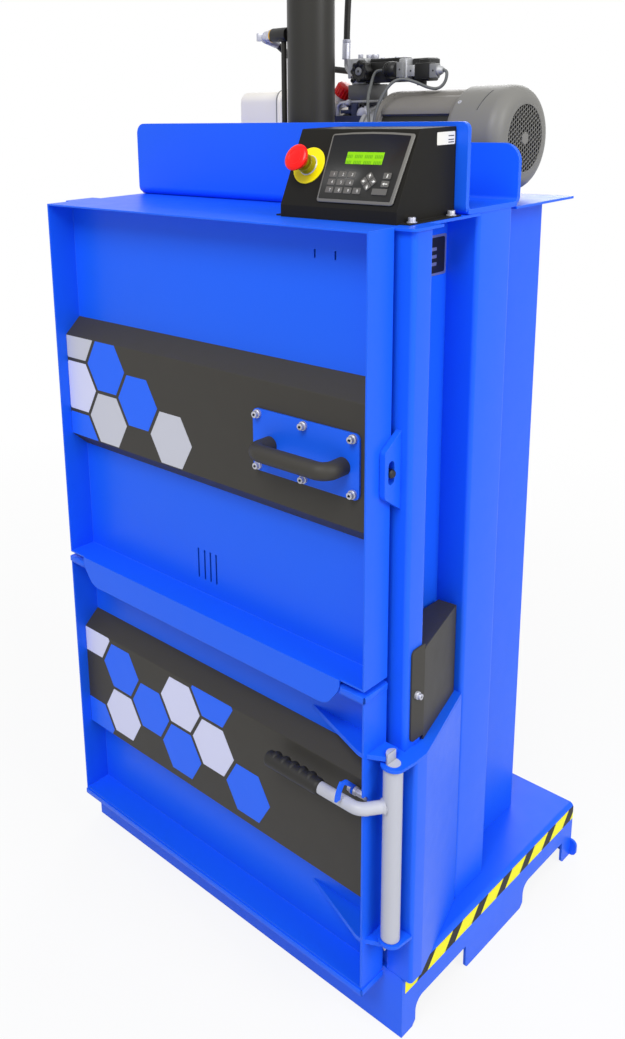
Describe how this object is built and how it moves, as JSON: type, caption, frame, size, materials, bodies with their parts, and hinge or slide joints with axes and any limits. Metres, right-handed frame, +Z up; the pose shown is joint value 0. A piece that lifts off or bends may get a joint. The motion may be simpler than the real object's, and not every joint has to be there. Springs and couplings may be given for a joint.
{
  "type": "vertical baler",
  "caption": "Upright press for card and film with two doors, a bar-lever lock, a sloping control desk and a hydraulic pack on the roof.",
  "frame": {"origin": "on the floor, under the middle of the doors' front plane", "axes": "+X to the operator's right, +Y towards the back, +Z up"},
  "size_m": [0.862, 0.718, 1.985],
  "materials": {
    "blue_paint": "satin",
    "charcoal_paint": "satin",
    "lever_paint": "satin",
    "plain_steel": "satin",
    "bright_steel": "polished",
    "cast_aluminium": "cast",
    "label_metal": "satin",
    "black_plastic": "matt",
    "grey_plastic": "matt",
    "fan_cowl": "satin",
    "tank_plastic": "satin",
    "yellow_plastic": "satin",
    "red_plastic": "gloss",
    "hose_rubber": "matt"
  },
  "bodies": {
    "frame": {"base_tray": "blue_paint", "side_wall_right": "blue_paint", "side_wall_left": "blue_paint", "rear_wall": "blue_paint", "corner_post_right": "blue_paint", "corner_post_left": "blue_paint", "side_column_right": "blue_paint", "side_column_left": "blue_paint", "roof_plate": "blue_paint", "cross_beam": "blue_paint", "lever_skirt": "blue_paint", "lock_plates": "blue_paint", "latch_plate": "blue_paint", "side_cover": "charcoal_paint", "cover_bolt": "plain_steel", "rating_plate": "label_metal", "hinge_brackets": "blue_paint", "console_housing": "charcoal_paint", "operator_panel": "black_plastic", "stop_button_base": "yellow_plastic", "console_bolts": "plain_steel", "oil_tank": "tank_plastic", "pump_block": "cast_aluminium", "end_shield": "cast_aluminium", "motor_body": "cast_aluminium", "fan_cover": "fan_cowl", "sub_plate": "cast_aluminium", "valve_body": "cast_aluminium", "solenoid_coils": "black_plastic", "cable_connectors": "grey_plastic", "rigid_pipe": "plain_steel", "pipe_elbow": "bright_steel", "short_hose": "hose_rubber", "long_hose": "hose_rubber", "hose_ferrules": "bright_steel", "control_cables": "grey_plastic", "cylinder_barrel": "charcoal_paint", "cylinder_gland": "plain_steel", "cylinder_flange": "blue_paint", "flange_bolts": "plain_steel"},
    "ram": {"piston_rod": "bright_steel", "platen": "plain_steel"},
    "lower_door": {"lower_door_tray": "blue_paint", "lower_door_band": "charcoal_paint", "lock_claws": "blue_paint", "lower_door_hinges": "blue_paint", "catch_bolt": "plain_steel"},
    "catch": {"lock_catch": "blue_paint"},
    "lever": {"closing_lever": "lever_paint", "lever_grip": "black_plastic"},
    "upper_door": {"upper_door_tray": "blue_paint", "upper_door_band": "charcoal_paint", "handle_plate": "blue_paint", "door_handle": "black_plastic", "handle_screws": "plain_steel", "upper_door_hinges": "blue_paint"},
    "latch": {"latch_bolt": "plain_steel"},
    "button": {"stop_button": "red_plastic"},
    "cap": {"filler_cap": "red_plastic"},
    "fan": {"motor_fan": "black_plastic"}
  },
  "joints": [
    {"name": "ram_slide", "type": "slide", "parent": "frame", "child": "ram", "axis": [0, 0, -1], "range_m": [0, 0.535]},
    {"name": "lower_door_swing", "type": "hinge", "parent": "frame", "child": "lower_door", "pos_m": [-0.392, 0.03, 0.4], "axis": [0, 0, -1], "range_deg": [0, 95]},
    {"name": "upper_door_swing", "type": "hinge", "parent": "lower_door", "child": "upper_door", "pos_m": [-0.392, 0.03, 1.05], "axis": [0, 0, -1], "range_deg": [0, 90]},
    {"name": "latch_bolt_slide", "type": "slide", "parent": "upper_door", "child": "latch", "axis": [-1, 0, 0], "range_m": [0, 0.015]},
    {"name": "closing_lever_turn", "type": "hinge", "parent": "frame", "child": "lever", "pos_m": [0.4076, 0.0366, 0.4], "axis": [0, 0, 1], "range_deg": [0, 140]},
    {"name": "catch_lift", "type": "hinge", "parent": "lower_door", "child": "catch", "pos_m": [0.347, 0.014, 0.492], "axis": [-1, 0, 0], "range_deg": [-40, 35]},
    {"name": "stop_button_press", "type": "slide", "parent": "frame", "child": "button", "axis": [0, 0.9032, -0.4291], "range_m": [0, 0.005]},
    {"name": "filler_cap_lift", "type": "slide", "parent": "frame", "child": "cap", "axis": [0.6, 0, 0.8], "range_m": [0, 0.018]},
    {"name": "fan_spin", "type": "hinge", "parent": "frame", "child": "fan", "pos_m": [0.29, 0.5, 1.508], "axis": [1, 0, 0], "continuous": true}
  ]
}
